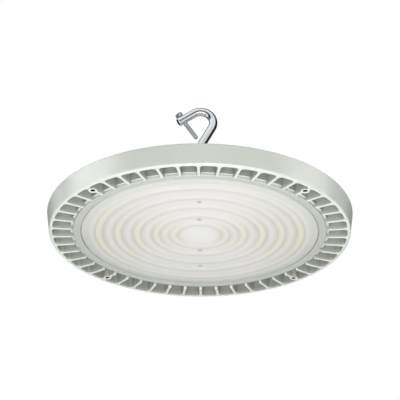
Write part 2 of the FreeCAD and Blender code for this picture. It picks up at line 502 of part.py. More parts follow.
cp = cp.fuse(rev([(0, 99.5), (9.9, 99.5), ("a", 9.2, 103.2, 7.2, 105.0), (0, 105.0)]))
cp = cp.cut(rev([(0, 90), (7.65, 90), (7.65, 97.0), (6.5, 98.6), (5.7, 101.4), (5.2, 102.0), (5.2, 106), (0, 106)]))
parts["gland_cap"] = tidy(cp).translated(g)
parts["gland_lock_nut"] = hex_nut(0, 0, 72.5, 76.5, 21.0, 8.05).translated(g)

vt = rev([(0, 72.5), (5.4, 72.5), (6.0, 73.1), (6.0, PAD_TOP), (8.6, PAD_TOP), (8.6, PAD_TOP + 1.6), (8.2, PAD_TOP + 5.4), ("a", 7.8, PAD_TOP + 6.6, 6.6, PAD_TOP + 7.0), (0, PAD_TOP + 7.0)])
vt = vt.cut(cyl(0, 0, 70, PAD_TOP + 3.0, 3.5))
vt = vt.cut(Part.makeCompound([rotz(box(2.0, 10.0, -0.9, 0.9, PAD_TOP + 2.6, PAD_TOP + 4.2), a) for a in range(0, 360, 60)]))
parts["vent_plug"] = tidy(vt).translated(V(VENT_X, VENT_Y, 0))

# ---------------------------------------------------------------- write the pieces
total = 0.0
for name, s in parts.items():
    ok = s.isValid()
    ns = len(s.Solids)
    if ns == 0:
        print("NO SOLID", name, s.ShapeType)
    for so in s.Solids:
        if so.Volume < 0:
            print("negative", name)
    bb = s.BoundBox
    print("%-22s solids %3d valid %s vol %9.1f  x %.1f..%.1f y %.1f..%.1f z %.1f..%.1f" %
          (name, ns, ok, s.Volume, bb.XMin, bb.XMax, bb.YMin, bb.YMax, bb.ZMin, bb.ZMax))
    s.exportStep("parts/" + name + ".step")
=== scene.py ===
import bpy, bmesh, json, math
from mathutils import Vector, Matrix


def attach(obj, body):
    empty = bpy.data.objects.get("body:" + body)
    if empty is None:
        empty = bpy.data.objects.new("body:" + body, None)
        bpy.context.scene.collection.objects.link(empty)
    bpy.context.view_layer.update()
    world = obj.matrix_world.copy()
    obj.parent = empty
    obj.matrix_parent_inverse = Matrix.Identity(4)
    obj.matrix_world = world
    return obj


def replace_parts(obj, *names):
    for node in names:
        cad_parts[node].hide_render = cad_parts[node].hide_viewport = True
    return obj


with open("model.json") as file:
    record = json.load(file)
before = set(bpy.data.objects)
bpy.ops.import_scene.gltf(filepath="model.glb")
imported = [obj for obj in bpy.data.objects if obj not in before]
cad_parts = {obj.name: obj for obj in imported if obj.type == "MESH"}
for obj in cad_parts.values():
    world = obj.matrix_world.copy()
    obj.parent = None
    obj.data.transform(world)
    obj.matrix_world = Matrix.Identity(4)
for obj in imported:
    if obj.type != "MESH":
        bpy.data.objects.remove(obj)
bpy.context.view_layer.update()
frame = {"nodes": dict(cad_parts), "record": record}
NODES = frame["nodes"]


scene = bpy.context.scene
MM = 0.001

# ------------------------------------------------------------------ camera
cam_data = bpy.data.cameras.new("camera")
cam = bpy.data.objects.new("camera", cam_data)
scene.collection.objects.link(cam)
scene.camera = cam
cam_data.sensor_fit = "HORIZONTAL"
cam_data.sensor_width = 36.0
cam_data.lens = 120.18
cam_data.clip_start = 0.05
cam_data.clip_end = 50.0
C = Vector((0.01441, -1.37394, -0.66750))
fwd = -C.normalized()
right = fwd.cross(Vector((0, 0, 1))).normalized()
up = right.cross(fwd)
target = right * -0.00002 + up * 0.04275
fwd = (target - C).normalized()
right = fwd.cross(Vector((0, 0, 1))).normalized()
up = right.cross(fwd)
roll = math.radians(0.401)
r2 = right * math.cos(roll) + up * math.sin(roll)
u2 = -right * math.sin(roll) + up * math.cos(roll)
M = Matrix((r2, u2, -fwd)).transposed().to_4x4()
M.translation = C
cam.matrix_world = M


# ------------------------------------------------------------------ material helpers
class Mat:
    """A node material with a Principled shader; a few helpers keep the graphs short."""

    def __init__(self, name):
        self.m = bpy.data.materials.new(name)
        self.m.use_nodes = True
        self.nt = self.m.node_tree
        self.nt.nodes.clear()
        self.out = self.nt.nodes.new("ShaderNodeOutputMaterial")
        self.p = self.nt.nodes.new("ShaderNodeBsdfPrincipled")
        self.link(self.p.outputs[0], self.out.inputs["Surface"])
        self.co = self.nt.nodes.new("ShaderNodeTexCoord").outputs["Object"]

    def link(self, a, b):
        self.nt.links.new(a, b)

    def set(self, **kw):
        for k, v in kw.items():
            self.p.inputs[k.replace("_", " ")].default_value = v
        return self

    def node(self, kind, **kw):
        n = self.nt.nodes.new(kind)
        for k, v in kw.items():
            if hasattr(n, k):
                setattr(n, k, v)
            else:
                n.inputs[k].default_value = v
        return n

    def noise(self, scale, detail=3.0, rough=0.55, stretch=None, distortion=0.0):
        n = self.node("ShaderNodeTexNoise")
        n.inputs["Scale"].default_value = scale
        n.inputs["Detail"].default_value = detail
        n.inputs["Roughness"].default_value = rough
        n.inputs["Distortion"].default_value = distortion
        src = self.co
        if stretch:
            mp = self.node("ShaderNodeMapping")
            mp.inputs["Scale"].default_value = stretch
            self.link(self.co, mp.inputs["Vector"])
            src = mp.outputs[0]
        self.link(src, n.inputs["Vector"])
        return n.outputs["Fac"]

    def ramp(self, fac, stops, interp="LINEAR"):
        r = self.node("ShaderNodeValToRGB")
        r.color_ramp.interpolation = interp
        el = r.color_ramp.elements
        while len(el) < len(stops):
            el.new(0.5)
        for e, (pos, col) in zip(el, stops):
            e.position = pos
            e.color = (*col, 1.0) if len(col) == 3 else col
        self.link(fac, r.inputs[0])
        return r.outputs[0]

    def span(self, fac, lo, hi, flo=0.0, fhi=1.0):
        m = self.node("ShaderNodeMapRange")
        m.inputs["From Min"].default_value = flo
        m.inputs["From Max"].default_value = fhi
        m.inputs["To Min"].default_value = lo
        m.inputs["To Max"].default_value = hi
        self.link(fac, m.inputs["Value"])
        return m.outputs[0]

    def multiply(self, a, b):
        x = self.node("ShaderNodeMix", data_type="RGBA", blend_type="MULTIPLY")
        x.inputs[0].default_value = 1.0
        self.link(a, x.inputs[6])
        self.link(b, x.inputs[7])
        return x.outputs[2]

    def math(self, op, a, b=None):
        n = self.node("ShaderNodeMath", operation=op)
        for k, v in enumerate((a, b)):
            if v is None:
                continue
            if isinstance(v, (int, float)):
                n.inputs[k].default_value = v
            else:
                self.link(v, n.inputs[k])
        return n.outputs[0]

    def painted_hole_shade_mask(self, xy, r):
        """0 inside the blind holes at (+-xy, +-xy), 1 elsewhere; the mask for their painted shade."""
        sx = self.node("ShaderNodeSeparateXYZ")
        self.link(self.co, sx.inputs[0])
        dx = self.math("SUBTRACT", self.math("ABSOLUTE", sx.outputs["X"]), xy)
        dy = self.math("SUBTRACT", self.math("ABSOLUTE", sx.outputs["Y"]), xy)
        d2 = self.math("ADD", self.math("MULTIPLY", dx, dx), self.math("MULTIPLY", dy, dy))
        deep = self.math("GREATER_THAN", sx.outputs["Z"], 0.0102)
        return self.math("MAXIMUM", self.math("GREATER_THAN", d2, r * r), deep)

    def colour(self, sock):
        self.link(sock, self.p.inputs["Base Color"])
        return self

    def rough(self, sock):
        self.link(sock, self.p.inputs["Roughness"])
        return self

    def bump(self, height, strength=0.2, distance=0.0002, edge=0.0):
        b = self.node("ShaderNodeBump")
        b.inputs["Strength"].default_value = strength
        b.inputs["Distance"].default_value = distance
        self.link(height, b.inputs["Height"])
        if edge:
            bev = self.node("ShaderNodeBevel", samples=4)
            bev.inputs["Radius"].default_value = edge
            self.link(bev.outputs[0], b.inputs["Normal"])
        self.link(b.outputs[0], self.p.inputs["Normal"])
        return self


def tint(c, k):
    return tuple(min(1.0, v * k) for v in c)


def powder(name, col, rough=0.36, edge=0.0004, var=0.025, painted_recess_shade=0.0, holes=False):
    m = Mat(name)
    big = m.noise(9.0, 2.0)
    c = m.ramp(big, [(0.3, tint(col, 1 - var)), (0.7, tint(col, 1 + var))])
    if painted_recess_shade:
        # painted shade: where ambient occlusion finds a recess, the colour is painted darker, down to the given level
        ao = m.node("ShaderNodeAmbientOcclusion", samples=6, only_local=True)
        ao.inputs["Distance"].default_value = 0.030
        lo = (painted_recess_shade, painted_recess_shade, painted_recess_shade * 0.95)
        mid = tuple(0.45 + 0.55 * v for v in lo)
        c = m.multiply(c, m.ramp(ao.outputs["AO"], [(0.0, lo), (0.45, mid), (0.95, (1.0, 1.0, 1.0))]))
        # painted light: the lowest faces, below 1.2 mm and fading out by 3 mm, are painted up to 13% lighter
        sz = m.node("ShaderNodeSeparateXYZ")
        m.link(m.co, sz.inputs[0])
        painted_underside_light = m.span(sz.outputs["Z"], 1.13, 1.0, 0.0012, 0.0030)
        comb = m.node("ShaderNodeCombineXYZ")
        for i in range(3):
            m.link(painted_underside_light, comb.inputs[i])
        c = m.multiply(c, comb.outputs[0])
    if holes:
        # painted shade: the walls inside the open cells at the outer band are painted up to 15% darker
        rr = m.math("SQRT", m.math("ADD", m.math("MULTIPLY", sz.outputs["X"], sz.outputs["X"]), m.math("MULTIPLY", sz.outputs["Y"], sz.outputs["Y"])))
        painted_cell_shade = m.math("MULTIPLY", m.span(rr, 0.0, 1.0, 0.158, 0.166), m.span(sz.outputs["Z"], 0.0, 1.0, 0.0030, 0.0050))
        painted_cell_shade = m.math("MULTIPLY", painted_cell_shade, m.math("LESS_THAN", rr, 0.1719))
        c = m.multiply(c, m.span(painted_cell_shade, 1.0, 0.85))
        # painted shade: the blind screw holes are painted near-black inside
        c = m.multiply(c, m.ramp(m.painted_hole_shade_mask(HOLE_XY, 0.00252), [(0.0, (0.02, 0.02, 0.02)), (1.0, (1.0, 1.0, 1.0))]))
    m.colour(c)
    fine = m.noise(900.0, 2.0, 0.6)
    m.rough(m.span(m.noise(160.0, 2.0), rough - 0.04, rough + 0.05, 0.3, 0.7))
    m.bump(fine, 0.18, 0.00010, edge)
    m.set(Specular_IOR_Level=0.5)
    return m.m


def plastic(name, col, rough=0.45, var=0.05, grain=1400.0, strength=0.12, edge=0.0, spec=0.5):
    m = Mat(name)
    m.colour(m.ramp(m.noise(30.0, 2.0), [(0.3, tint(col, 1 - var)), (0.7, tint(col, 1 + var))]))
    m.rough(m.span(m.noise(220.0, 3.0), rough - 0.05, rough + 0.05, 0.3, 0.7))
    m.bump(m.noise(grain, 2.0), strength, 0.00008, edge)
    m.set(Specular_IOR_Level=spec)
    return m.m


def metal(name, col, rough=0.25, var=0.06, brush=None, strength=0.1, scale=500.0, edge=0.0):
    m = Mat(name)
    m.colour(m.ramp(m.noise(60.0, 4.0, 0.6), [(0.3, tint(col, 1 - var)), (0.7, tint(col, 1 + var))]))
    m.rough(m.span(m.noise(140.0, 4.0, 0.65), rough * 0.7, rough * 1.4, 0.3, 0.7))
    m.bump(m.noise(scale, 3.0, stretch=brush), strength, 0.00006, edge)
    m.set(Metallic=1.0)
    return m.m


PAINT = (0.535, 0.559, 0.516)
HOLE_XY = 0.1604 * math.sin(math.radians(45))
mat_paint = powder("powder_coat_light_grey", PAINT, painted_recess_shade=0.32, holes=True)
mat_frame = plastic("frame_light_grey", (0.415, 0.432, 0.402), 0.55, 0.02, 1200.0, 0.10, 0.0003)
mat_zinc = metal("bright_zinc", (0.80, 0.82, 0.84), 0.20, 0.04, strength=0.05)
mat_hook = metal("zinc_plated_rod", (0.87, 0.88, 0.88), 0.13, 0.03, strength=0.02, scale=140.0)
mat_screw = metal("zinc_plated_screw", (0.66, 0.66, 0.65), 0.32, 0.05, strength=0.0)


def satin_edges(m, hi):
    """Plating goes satin towards grazing angles: only the gloss changes."""
    nt = m.node_tree
    p = next(n for n in nt.nodes if n.type == "BSDF_PRINCIPLED")
    src = p.inputs["Roughness"].links[0].from_socket if p.inputs["Roughness"].links else None
    lw = nt.nodes.new("ShaderNodeLayerWeight")
    lw.inputs["Blend"].default_value = 0.5
    mr = nt.nodes.new("ShaderNodeMapRange")
    for k, v in (("From Min", 0.45), ("From Max", 0.85), ("To Min", 0.0), ("To Max", hi)):
        mr.inputs[k].default_value = v
    nt.links.new(lw.outputs["Facing"], mr.inputs["Value"])
    mx = nt.nodes.new("ShaderNodeMath")
    mx.operation = "MAXIMUM"
    if src:
        nt.links.new(src, mx.inputs[0])
    else:
        mx.inputs[0].default_value = p.inputs["Roughness"].default_value
    nt.links.new(mr.outputs[0], mx.inputs[1])
    nt.links.new(mx.outputs[0], p.inputs["Roughness"])


satin_edges(mat_hook, 0.42)
satin_edges(mat_screw, 0.50)
mat_board_white = plastic("white_solder_mask", (0.94, 0.94, 0.93), 0.5, 0.01)
mat_led = plastic("led_phosphor", (0.95, 0.70, 0.10), 0.5, 0.05)
mat_white_pl = plastic("white_moulded", (0.84, 0.84, 0.82), 0.4, 0.03)
mat_rubber = plastic("black_rubber", (0.022, 0.022, 0.023), 0.65, 0.2, 700.0, 0.25)
mat_silicone = plastic("white_silicone", (0.72, 0.72, 0.70), 0.55, 0.04)
mat_gland = plastic("grey_polyamide", (0.30, 0.315, 0.32), 0.42, 0.05, 900.0, 0.2, 0.0003)
mat_black_pl = plastic("black_polyamide", (0.03, 0.03, 0.032), 0.42, 0.15, 900.0, 0.2, 0.0003)
mat_pad = plastic("thermal_pad_grey", (0.28, 0.30, 0.33), 0.7, 0.08)
mat_red = plastic("red_insulation", (0.50, 0.03, 0.02), 0.3)
mat_blk = plastic("black_insulation", (0.02, 0.02, 0.02), 0.3)
mat_pcb = plastic("green_solder_mask", (0.015, 0.16, 0.05), 0.3)
mat_tape = plastic("yellow_tape", (0.80, 0.52, 0.05), 0.3)
mat_cap = plastic("capacitor_sleeve", (0.02, 0.02, 0.045), 0.25)
mat_ferrite = plastic("ferrite_green", (0.06, 0.10, 0.06), 0.5)
mat_blackened = metal("blackened_steel", (0.06, 0.06, 0.065), 0.4)
mat_tin = metal("tinned", (0.72, 0.72, 0.70), 0.3)

BY_SLOT = {
    "light_grey_paint": mat_paint, "light_grey_frame": mat_frame, "white_silicone": mat_silicone, "grey_thermal_pad": mat_pad,
    "white_board": mat_board_white, "led_yellow": mat_led, "zinc_screws": mat_zinc, "white_plastic": mat_white_pl,
    "black_rubber": mat_rubber, "red_insulation": mat_red, "black_insulation": mat_blk, "driver_plastic": mat_white_pl,
    "green_circuit_board": mat_pcb, "yellow_tape": mat_tape, "capacitor_sleeve": mat_cap, "ferrite": mat_ferrite,
    "tinned_lug": mat_tin, "zinc_plated_hook": mat_zinc, "zinc_locking_screw": mat_screw, "black_steel": mat_blackened,
    "grey_gland_plastic": mat_gland, "black_plastic": mat_black_pl,
}

# lens: opal polycarbonate, with a warm cast over each ring of LEDs that is stronger across the flow lines of the
# ridges; painted shade darkens the ridge valleys, the outer band and the disc towards its rim, and painted shadows mark
# the board screws
LED_RING_R = [30.1, 50.2, 72.0, 93.8, 115.5]
L = Mat("frosted_polycarbonate")


def ring_stops(centre, ring, valley, flat, edge):
    out = [(0.0, centre), (10.0, centre), (19.0, flat)]
    for r in LED_RING_R:
        out += [(r - 4.3, valley), (r - 1.6, ring), (r + 1.6, ring), (r + 4.3, valley)]
        if r < 110:
            out.append((r + 10.0, flat))
    out += [(123.0, flat), (128.0, edge), (136.0, edge)]
    return [(r / 140.0, c) for r, c in out]


sx = L.node("ShaderNodeSeparateXYZ")
L.link(L.co, sx.inputs[0])
rr = L.math("SQRT", L.math("ADD", L.math("MULTIPLY", sx.outputs["X"], sx.outputs["X"]), L.math("MULTIPLY", sx.outputs["Y"], sx.outputs["Y"])))
rn = L.math("DIVIDE", rr, 0.140)
side = L.math("POWER", L.math("DIVIDE", L.math("ABSOLUTE", sx.outputs["X"]), L.math("ADD", rr, 0.002)), 3.0)
# painted shade: the valleys beside each ring are painted darker, most at the left and right sides, and so is the band
# from r 128 mm outwards
across = L.ramp(rn, ring_stops((1.0, 1.0, 0.997), (1.0, 0.982, 0.838), (0.80, 0.79, 0.71), (0.997, 0.984, 0.952), (0.885, 0.895, 0.84)))
along = L.ramp(rn, ring_stops((1.0, 1.0, 0.997), (1.0, 0.99, 0.972), (0.972, 0.962, 0.944), (1.0, 0.992, 0.978), (0.91, 0.915, 0.88)))
mx = L.node("ShaderNodeMix", data_type="RGBA")
L.link(side, mx.inputs[0])
L.link(along, mx.inputs[6])
L.link(across, mx.inputs[7])
# painted shadow: faint grey spots over the board screws, standing in for their shadow seen through the frosting
ay = L.math("ABSOLUTE", sx.outputs["Y"])
painted_screw_shadow = None
for yc in (0.040, 0.083):
    dy = L.math("SUBTRACT", ay, yc)
    d = L.math("SQRT", L.math("ADD", L.math("MULTIPLY", sx.outputs["X"], sx.outputs["X"]), L.math("MULTIPLY", dy, dy)))
    painted_screw_shadow = d if painted_screw_shadow is None else L.math("MINIMUM", painted_screw_shadow, d)
shade = L.node("ShaderNodeMix", data_type="RGBA", blend_type="MULTIPLY")
shade.inputs[0].default_value = 1.0
L.link(mx.outputs[2], shade.inputs[6])
L.link(L.span(painted_screw_shadow, 0.60, 1.0, 0.0010, 0.0036), shade.inputs[7])
# painted shade: the lens colour is painted up to 7% darker from r 15 mm towards its rim
painted_rim_shade = L.node("ShaderNodeMix", data_type="RGBA", blend_type="MULTIPLY")
painted_rim_shade.inputs[0].default_value = 1.0
L.link(shade.outputs[2], painted_rim_shade.inputs[6])
L.link(L.ramp(rn, [(0.0, (1, 1, 1)), (0.11, (1, 1, 1)), (0.16, (0.976, 0.976, 0.976)), (0.46, (0.978, 0.978, 0.978)), (0.53, (0.96, 0.96, 0.96)), (0.68, (0.95, 0.95, 0.95)), (0.84, (0.932, 0.932, 0.932)), (1.0, (0.936, 0.936, 0.936))]), painted_rim_shade.inputs[7])
L.colour(painted_rim_shade.outputs[2])
L.rough(L.span(L.noise(260.0, 2.0), 0.10, 0.16, 0.3, 0.7))
L.set(Transmission_Weight=0.49, IOR=1.45)
mat_lens = L.m
BY_SLOT["frosted_lens"] = mat_lens

for sp in frame["record"]["subparts"]:
    o = NODES[sp["node"]]
    o.data.materials.clear()
    o.data.materials.append(BY_SLOT[sp["material_slot"]])


# ------------------------------------------------------------------ mesh helpers
def add_mesh(name, verts, faces, mat, angle=35.0, smooth=True):
    me = bpy.data.meshes.new(name)
    me.from_pydata(verts, [], faces)
    bm = bmesh.new()
    bm.from_mesh(me)
    bmesh.ops.remove_doubles(bm, verts=bm.verts, dist=1e-7)
    bmesh.ops.recalc_face_normals(bm, faces=bm.faces)
    bm.to_mesh(me)
    bm.free()
    if smooth:
        me.polygons.foreach_set("use_smooth", [True] * len(me.polygons))
        me.set_sharp_from_angle(angle=math.radians(angle))
    ob = bpy.data.objects.new(name, me)
    scene.collection.objects.link(ob)
    me.materials.append(mat)
    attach(ob, "root")
    return ob


def rounded(pts, n=5):
    """Polyline in (r, z); a point (r, z, f) is rounded by radius f."""
    out = []
    k = len(pts)
    for i, p in enumerate(pts):
        if len(p) < 3 or not p[2]:
            out.append((p[0], p[1]))
            continue
        a, b, c = Vector(pts[i - 1][:2]), Vector(p[:2]), Vector(pts[(i + 1) % k][:2])
        d1, d2 = (a - b).normalized(), (c - b).normalized()
        ang = math.acos(max(-1, min(1, d1.dot(d2))))
        t = min(p[2] / math.tan(ang / 2), (a - b).length * 0.499, (c - b).length * 0.499)
        rad = t * math.tan(ang / 2)
        cen = b + (d1 + d2).normalized() * (rad / math.sin(ang / 2))
        p1, p2 = b + d1 * t, b + d2 * t
        a1 = math.atan2(p1.y - cen.y, p1.x - cen.x)
        a2 = math.atan2(p2.y - cen.y, p2.x - cen.x)
        da = (a2 - a1 + math.pi) % (2 * math.pi) - math.pi
        for j in range(n + 1):
            q = a1 + da * j / n
            out.append((cen.x + rad * math.cos(q), cen.y + rad * math.sin(q)))
    return out


def lathe(name, prof, segs, mat, angle=35.0, at=(0, 0)):
    """Closed profile in mm, turned about the Z axis."""
    verts, faces, rings = [], [], []
    for r, z in prof:
        if r < 1e-6:
            verts.append((at[0] * MM, at[1] * MM, z * MM))
            rings.append([len(verts) - 1] * segs)
        else:
            base = len(verts)
            for i in range(segs):
                a = 2 * math.pi * i / segs
                verts.append(((at[0] + r * math.cos(a)) * MM, (at[1] + r * math.sin(a)) * MM, z * MM))
            rings.append(list(range(base, base + segs)))
    k = len(prof)
    for j in range(k):
        a, b = rings[j], rings[(j + 1) % k]
        if prof[j][0] < 1e-6 and prof[(j + 1) % k][0] < 1e-6:
            continue
        for i in range(segs):
            q = [a[i], a[(i + 1) % segs], b[(i + 1) % segs], b[i]]
            q = [v for n, v in enumerate(q) if v not in q[:n]]
            if len(q) > 2:
                faces.append(q)
    return add_mesh(name, verts, faces, mat, angle)


# ------------------------------------------------------------------ lens, a finely turned disc
LENS_Z0, LENS_Z1, HALF, SAG = 2.5, 5.2, 8.0, 0.55
prof = [(0.0, LENS_Z1), (30.0, LENS_Z1), (70.0, LENS_Z1), (110.0, LENS_Z1), (132.4, LENS_Z1), (133.2, 5.5), (133.8, 6.2), (139.9, 6.2), (139.9, 4.2), (135.2, 4.2),
        (135.2, LENS_Z0 + 0.4), (135.08, LENS_Z0 + 0.12), (134.8, LENS_Z0)]
for rk in reversed(LED_RING_R):
    for i in range(29):
        d = HALF * (1 - 2 * i / 28)
        prof.append((rk + d, LENS_Z0 - SAG * math.cos(math.pi * d / (2 * HALF)) ** 2))
prof.append((0.0, LENS_Z0))
lens = lathe("frosted_lens", prof, 288, mat_lens, 50)
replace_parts(lens, "lens")

# ------------------------------------------------------------------ turned, threaded and hexagonal pieces
def ring_geo(rows, segs, loop=False):
    """Rows of (centre, u, v, radius), the radius a number or a function of the angle, joined row to row."""
    verts, faces, idx = [], [], []
    for c, u, v, r in rows:
        if not callable(r) and r < 1e-9:
            idx.append([len(verts)] * segs)
            verts.append(tuple(c))
            continue
        base = len(verts)
        for i in range(segs):
            t = 2 * math.pi * i / segs
            rr = r(t) if callable(r) else r
            verts.append(tuple(c + u * (rr * math.cos(t)) + v * (rr * math.sin(t))))
        idx.append(list(range(base, base + segs)))
    pairs = list(zip(idx, idx[1:]))
    if loop:
        pairs.append((idx[-1], idx[0]))
    for a, b in pairs:
        for i in range(segs):
            q = [a[i], a[(i + 1) % segs], b[(i + 1) % segs], b[i]]
            q = [w for n, w in enumerate(q) if w not in q[:n]]
            if len(q) > 2:
                faces.append(q)
    return verts, faces


def along_axis(origin, axis, rows):
    """(distance, radius) rows in mm along an axis, as rows for ring_geo in metres."""
    o, a = Vector(origin) * MM, Vector(axis).normalized()
    ref = Vector((0, 1, 0)) if abs(a.y) < 0.9 else Vector((1, 0, 0))
    u = ref.cross(a).normalized()
    v = a.cross(u)
    out = []
    for s, r in rows:
        if callable(r):
            out.append((o + a * (s * MM), u, v, (lambda t, r=r: r(t) * MM)))
        else:
            out.append((o + a * (s * MM), u, v, r * MM))
    return out


def hexr(af, cap=1e9):
    def f(t):
        return min((af / 2) / math.cos((t + math.pi / 6) % (math.pi / 3) - math.pi / 6), cap)
    return f


def wave(r, amp, n):
    return lambda t: r + amp * math.cos(n * t)


def thread(s0, s1, pitch, major, depth, step, run_out=1.0):
    """Rows of a right-hand thread with flat crests and roots; it fades in and out over the ends."""
    rows = []
    n = int(round((s1 - s0) / step))
    for i in range(n + 1):
        s = s0 + (s1 - s0) * i / n
        k = min(1.0, (s - s0) / run_out, (s1 - s) / run_out)
        def f(t, s=s, k=k):
            x = abs(((s / pitch - t / (2 * math.pi)) % 1.0) * 2 - 1)
            g = min(1.0, max(0.0, (x - 0.12) / 0.70))
            return major - depth * k * g
        rows.append((s, f))
    return rows


def merged(parts):
    verts, faces = [], []
    for v, f in parts:
        n = len(verts)
        verts += v
        faces += [[i + n for i in q] for q in f]
    return verts, faces


def hex_rows(z0, z1, af, flat=0.955):
    """Outside of a hexagon whose corners are chamfered at both faces."""
    rows = []
    r0 = af / 2 * flat
    top = (af / 2 / math.cos(math.pi / 6) - r0) / 1.732
    steps = 6
    for i in range(steps + 1):
        h = top * i / steps
        rows.append((z0 + h, hexr(af, r0 + 1.732 * h)))
    for i in range(steps, -1, -1):
        h = top * i / steps
        rows.append((z1 - h, hexr(af, r0 + 1.732 * h)))
    return rows


# hook: one bent rod with a rolled thread on its shank and a spot face for the locking screw
def hook_rows():
    y = Vector((0, 1, 0))
    rows = []
    def put(x, z, ang, r):
        tan = Vector((math.sin(ang), 0, math.cos(ang)))
        rows.append((Vector((x * MM, 0, z * MM)), y.cross(tan) * -1, y, r))
    lean = math.radians(28)
    put(0, 82.0, 0, 0.0)
    put(0, 82.0, 0, 3.8 * MM)
    for s, f in thread(82.0, 114.4, 1.5, 5.0, 0.86, 0.15, 1.3):
        k = min(1.0, 0.76 + (s - 82.0) / 1.2 * 0.24)
        put(0, s, 0, (lambda t, f=f, k=k: min(f(t), 5.0 * k) * MM))
    put(0, 115.2, 0, 5.0 * MM)
    for i in range(13):
        a = lean * i / 12
        put(15 - 15 * math.cos(a), 115.9 + 15 * math.sin(a), a, 5.0 * MM)
    x0, z0, x1, z1 = 1.756, 122.94, 13.39, 144.82
    for i in range(1, 12):
        k = i / 12
        put(x0 + (x1 - x0) * k, z0 + (z1 - z0) * k, lean, 5.0 * MM)
    for i in range(65):
        d = math.radians(-28 + 152 * i / 64)
        put(-0.12 + 15.3 * math.cos(d), 152 + 15.3 * math.sin(d), -d, 5.0 * MM)
    end = math.radians(124)
    ex, ez = -0.12 + 15.3 * math.cos(end), 152 + 15.3 * math.sin(end)
    tx, tz = -math.sin(end), math.cos(end)
    def flat(t):
        # the outer side of the bar, away from the shank
        c = -math.cos(t)
        return min(5.0, 4.55 / c) * MM if c > 0.6 else 5.0 * MM
    L1 = 21.8
    ss = sorted([L1 * i / 40 for i in range(1, 39)] + [10.95, 11.05, 19.95, 20.05])
    for q in ss:
        put(ex + tx * q, ez + tz * q, -end, flat if 11.0 < q < 20.0 else 5.0 * MM)
    for q, r in ((L1 - 1.0, 5.0), (L1 - 0.85, 4.93), (L1 - 0.15, 4.2), (L1, 4.0), (L1, 0.0)):
        put(ex + tx * q, ez + tz * q, -end, r * MM)
    return rows


v, f = ring_geo(hook_rows(), 64)
hook_mesh = add_mesh("suspension_hook", v, f, mat_hook, 32)
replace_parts(hook_mesh, "hook")

# cap head screw across the mouth of the hook
q = Vector((-21.53, 0, 156.0))
n = Vector((0.559, 0, -0.829)).normalized()
seat = q - n * 4.55
rows = [(-2.4, 0.0), (-2.4, hexr(3.7)), (-4.7, hexr(4.0)), (-5.0, hexr(4.5)), (-5.0, 3.75), (-4.93, 3.95), (-4.6, 4.12), (-4.35, 4.2)]
rows += [(-4.2, wave(4.16, 0.09, 18)), (-2.3, wave(4.16, 0.09, 18)), (-0.5, wave(4.16, 0.09, 18)), (-0.35, 4.2), (-0.06, 4.1), (0.0, 3.9), (0.0, 2.5)]
rows += thread(0.3, 34.2, 0.8, 2.5, 0.24, 0.1, 0.8)
rows += [(34.6, 2.1), (35.0, 1.7), (35.0, 0.0)]
v, f = ring_geo(along_axis(seat, n, rows), 72)
lock = add_mesh("locking_screw", v, f, mat_screw, 32)
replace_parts(lock, "hook_locking_screw")

# washer and lock nut on the shank
rows = [(98.0, 5.4), (98.0, 9.7), (98.12, 9.93), (98.4, 10.0), (99.6, 10.0), (99.88, 9.93), (100.0, 9.7), (100.0, 5.6), (99.8, 5.3), (98.2, 5.3)]
v, f = ring_geo(along_axis((0, 0, 0), (0, 0, 1), rows), 96, True)
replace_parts(add_mesh("shank_washer", v, f, mat_zinc, 30), "hook_washer")
rows = [(100.0, 5.6)] + hex_rows(100.0, 108.0, 16.0) + [(108.0, 5.75), (107.5, 5.12), (100.5, 5.12)]
v, f = ring_geo(along_axis((0, 0, 0), (0, 0, 1), rows), 96, True)
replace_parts(add_mesh("shank_lock_nut", v, f, mat_zinc, 26), "hook_lock_nut")

# cover screws, pan heads with a six-lobe socket
one = []
for k in range(6):
    a = math.radians(30 + 60 * k)
    at = (83.5 * math.cos(a), 83.5 * math.sin(a), 61.0)
    rows = [(-17.0, 0.0), (-17.0, 1.2), (-16.3, 1.95)] + thread(-16.0, -3.0, 0.8, 1.95, 0.3, 0.2, 1.0)
    rows += [(0.0, 1.95), (0.0, 3.7), (0.12, 3.86), (0.35, 3.9), (0.9, 3.88), (1.5, 3.75), (2.1, 3.45), (2.6, 3.0), (2.95, 2.45), (3.1, 2.0), (3.1, wave(1.62, 0.20, 6)), (2.95, wave(1.5, 0.20, 6)), (1.3, wave(1.5, 0.20, 6)), (1.0, 0.0)]
    one.append(ring_geo(along_axis(at, (0, 0, 1), rows), 48))
v, f = merged(one)
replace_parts(add_mesh("cover_screw_set", v, f, mat_zinc, 34), "cover_screws")

# cable gland: hexagon body and domed compression cap with grip ribs
G = (0, 46.0, 0)
rows = [(70.5, 5.4), (70.5, 7.5), (71.0, 8.0)] + thread(71.2, 84.3, 1.5, 8.0, 0.55, 0.25, 1.0)
rows += [(86.0, 8.0), (86.0, 10.2), (86.1, 10.4), (86.9, 10.4), (87.0, 10.2)] + hex_rows(87.0, 92.0, 20.0, 0.965)
rows += [(92.0, 7.6), (96.0, 7.6), (96.5, 7.2), (96.5, 6.4), (92.0, 6.4), (90.6, 5.4)]
v, f = ring_geo(along_axis(G, (0, 0, 1), rows), 96, True)
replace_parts(add_mesh("gland_hex_body", v, f, mat_gland, 30), "gland_body")
rows = [(92.4, 7.65)] + hex_rows(92.4, 99.3, 20.0, 0.965)
dome = []
for i in range(9):
    k = i / 8
    zz = 99.5 + 5.2 * math.sin(k * math.pi / 2 * 0.98)
    rb = 7.3 + 2.55 * math.cos(k * math.pi / 2)
    dome.append((zz, wave(rb, 0.16 * (1 - k) ** 0.5 if 0 < i < 8 else 0.0, 24)))
rows += [(99.5, 9.85)] + dome[1:] + [(105.0, 7.0), (105.0, 5.5), (104.7, 5.2), (102.0, 5.2), (101.4, 5.7), (98.6, 6.5), (97.0, 7.65)]
v, f = ring_geo(along_axis(G, (0, 0, 1), rows), 96, True)
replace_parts(add_mesh("gland_compression_cap", v, f, mat_gland, 30), "gland_cap")

